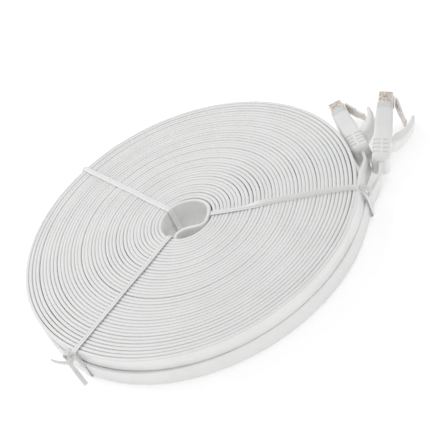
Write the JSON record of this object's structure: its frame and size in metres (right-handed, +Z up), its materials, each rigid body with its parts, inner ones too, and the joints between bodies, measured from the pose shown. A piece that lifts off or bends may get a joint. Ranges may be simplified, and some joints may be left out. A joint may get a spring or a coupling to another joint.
{
  "type": "flat ethernet patch cable",
  "caption": "Flat patch cable with a shielded modular plug on each end, wound on edge into a flat two-layer coil held by twist ties.",
  "frame": {"origin": "middle of the underside of the bounding box, on the surface that the coil lies on", "axes": "+Z up along the coil's axis, +X across the coil towards the plugs, -Y towards the half of the hole that the ribbon crosses"},
  "size_m": [0.1944, 0.16, 0.0192],
  "materials": {
    "jacket": "satin white soft PVC",
    "tie": "white plastic strip over a wire",
    "boot": "satin white moulded PVC",
    "clear": "clear polycarbonate",
    "shield": "plated pressed sheet",
    "gold": "gold plate",
    "insulation": "polyethylene sleeve"
  },
  "bodies": {
    "cable": {"boot_a": "boot", "boot_b": "boot", "cable_tail_a": "jacket", "cable_tail_b": "jacket", "coil_lower": "jacket", "coil_upper": "jacket", "conductor_1_a": "insulation", "conductor_1_b": "insulation", "conductor_2_a": "insulation", "conductor_2_b": "insulation", "conductor_3_a": "insulation", "conductor_3_b": "insulation", "conductor_4_a": "insulation", "conductor_4_b": "insulation", "conductor_5_a": "insulation", "conductor_5_b": "insulation", "conductor_6_a": "insulation", "conductor_6_b": "insulation", "conductor_7_a": "insulation", "conductor_7_b": "insulation", "conductor_8_a": "insulation", "conductor_8_b": "insulation", "contact_1_a": "gold", "contact_1_b": "gold", "contact_2_a": "gold", "contact_2_b": "gold", "contact_3_a": "gold", "contact_3_b": "gold", "contact_4_a": "gold", "contact_4_b": "gold", "contact_5_a": "gold", "contact_5_b": "gold", "contact_6_a": "gold", "contact_6_b": "gold", "contact_7_a": "gold", "contact_7_b": "gold", "contact_8_a": "gold", "contact_8_b": "gold", "crossover": "jacket", "load_bar_a": "clear", "load_bar_b": "clear", "plug_housing_a": "clear", "plug_housing_b": "clear", "shield_shell_a": "shield", "shield_shell_b": "shield", "tie_far": "tie", "tie_near": "tie", "tie_plugs": "tie"},
    "latch_a": {"latch_lever_a": "clear"},
    "latch_b": {"latch_lever_b": "clear"},
    "guard_a": {"latch_guard_a": "boot"},
    "guard_b": {"latch_guard_b": "boot"}
  },
  "joints": [
    {"name": "guard_a_press", "type": "hinge", "parent": "cable", "child": "guard_a", "pos_m": [0.07383, 0.00493, 0.00711], "axis": [-0.0521, 0.0053, 0.9986], "range_deg": [0, 14], "stiffness_Nm_per_rad": 0.05},
    {"name": "latch_a_press", "type": "hinge", "parent": "cable", "child": "latch_a", "pos_m": [0.07586, 0.02894, 0.00709], "axis": [0.0521, -0.0053, -0.9986], "range_deg": [0, 14], "stiffness_Nm_per_rad": 0.01},
    {"name": "guard_b_press", "type": "hinge", "parent": "cable", "child": "guard_b", "pos_m": [0.08199, -0.01118, 0.00816], "axis": [0.1669, -0.2553, 0.9524], "range_deg": [0, 14], "stiffness_Nm_per_rad": 0.05},
    {"name": "latch_b_press", "type": "hinge", "parent": "cable", "child": "latch_b", "pos_m": [0.09413, 0.00937, 0.01154], "axis": [-0.1669, 0.2553, -0.9524], "range_deg": [0, 14], "stiffness_Nm_per_rad": 0.01}
  ],
  "couplings": [
    {"joint": "latch_a_press", "follows": "guard_a_press", "ratio": 1},
    {"joint": "latch_b_press", "follows": "guard_b_press", "ratio": 1}
  ]
}
